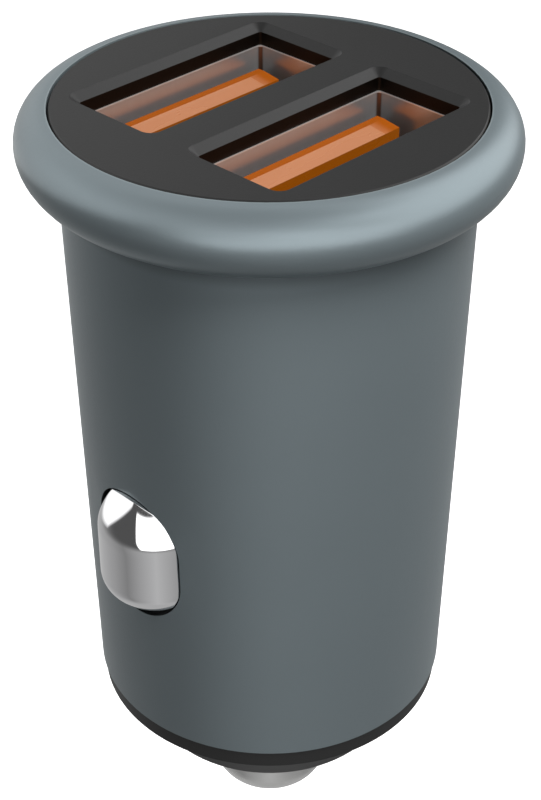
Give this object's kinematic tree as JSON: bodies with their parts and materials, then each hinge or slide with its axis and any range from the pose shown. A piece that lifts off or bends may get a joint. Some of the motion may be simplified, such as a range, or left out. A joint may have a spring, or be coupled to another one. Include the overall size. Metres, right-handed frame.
{
  "type": "car usb charger plug",
  "caption": "Round metal car charger that plugs into a 12 volt socket, with two USB type A ports in its face, sprung ground lugs at its sides and a sprung centre tip.",
  "frame": {"origin": "centre of the face plate's outer surface", "axes": "+Z along the plug's axis, out of the face; the ports are long in X; the lugs stand out at -X and +X"},
  "size_m": [0.0248, 0.0248, 0.0447],
  "materials": {
    "anodised_shell": "satin anodised slate grey aluminium",
    "black_plastic": "satin black moulding",
    "grey_plastic": "satin dark grey moulding",
    "orange_plastic": "glossy orange moulding",
    "port_steel": "plated sheet steel",
    "contact_bronze": "gilded spring bronze",
    "lug_steel": "mirror polished plated steel",
    "tip_nickel": "satin nickel plate",
    "spring_steel": "drawn spring wire",
    "board_green": "green solder mask over glass laminate",
    "pin_tin": "tinned",
    "plate_brass": "bright stamped brass",
    "ferrite": "dark sintered ferrite",
    "winding_copper": "enamelled copper wire",
    "can_aluminium": "drawn can",
    "chip_black": "moulded epoxy",
    "fuse_white": "glazed ceramic",
    "ceramic_tan": "sintered ceramic"
  },
  "bodies": {
    "plug_body": {"barrel_shell": "anodised_shell", "face_plate": "black_plastic", "port_a_shell": "port_steel", "port_a_insulator": "orange_plastic", "port_a_contact_1": "contact_bronze", "port_a_contact_2": "contact_bronze", "port_a_contact_3": "contact_bronze", "port_a_contact_4": "contact_bronze", "port_b_shell": "port_steel", "port_b_insulator": "orange_plastic", "port_b_contact_1": "contact_bronze", "port_b_contact_2": "contact_bronze", "port_b_contact_3": "contact_bronze", "port_b_contact_4": "contact_bronze", "port_board": "board_green", "main_board": "board_green", "board_pin_1": "pin_tin", "board_pin_2": "pin_tin", "board_pin_3": "pin_tin", "board_pin_4": "pin_tin", "carrier_left": "black_plastic", "carrier_right": "black_plastic", "side_spring_left": "spring_steel", "side_spring_right": "spring_steel", "ground_plate_left": "plate_brass", "ground_plate_right": "plate_brass", "end_cap": "black_plastic", "tip_collar": "grey_plastic", "tip_spring": "spring_steel", "tip_terminal": "plate_brass", "inductor_core": "ferrite", "inductor_winding": "winding_copper", "input_capacitor": "can_aluminium", "output_capacitor": "can_aluminium", "converter_chip": "chip_black", "control_chip": "chip_black", "rectifier_diode": "chip_black", "input_fuse": "fuse_white", "ceramic_capacitor_1": "ceramic_tan", "ceramic_capacitor_2": "ceramic_tan", "sense_resistor_1": "chip_black", "sense_resistor_2": "chip_black"},
    "tip": {"tip_contact": "tip_nickel"},
    "left_lug": {"side_contact_left": "lug_steel"},
    "right_lug": {"side_contact_right": "lug_steel"}
  },
  "joints": [
    {"name": "tip_press", "type": "slide", "parent": "plug_body", "child": "tip", "axis": [0, 0, 1], "range_m": [0, 0.0025], "stiffness_N_per_m": 2000, "springref_m": -0.003, "deforming": ["tip_spring"]},
    {"name": "left_lug_press", "type": "slide", "parent": "plug_body", "child": "left_lug", "axis": [1, 0, 0], "range_m": [0, 0.0012], "stiffness_N_per_m": 1500, "springref_m": -0.001, "deforming": ["side_spring_left"]},
    {"name": "right_lug_press", "type": "slide", "parent": "plug_body", "child": "right_lug", "axis": [-1, 0, 0], "range_m": [0, 0.0012], "stiffness_N_per_m": 1500, "springref_m": -0.001, "deforming": ["side_spring_right"]}
  ]
}
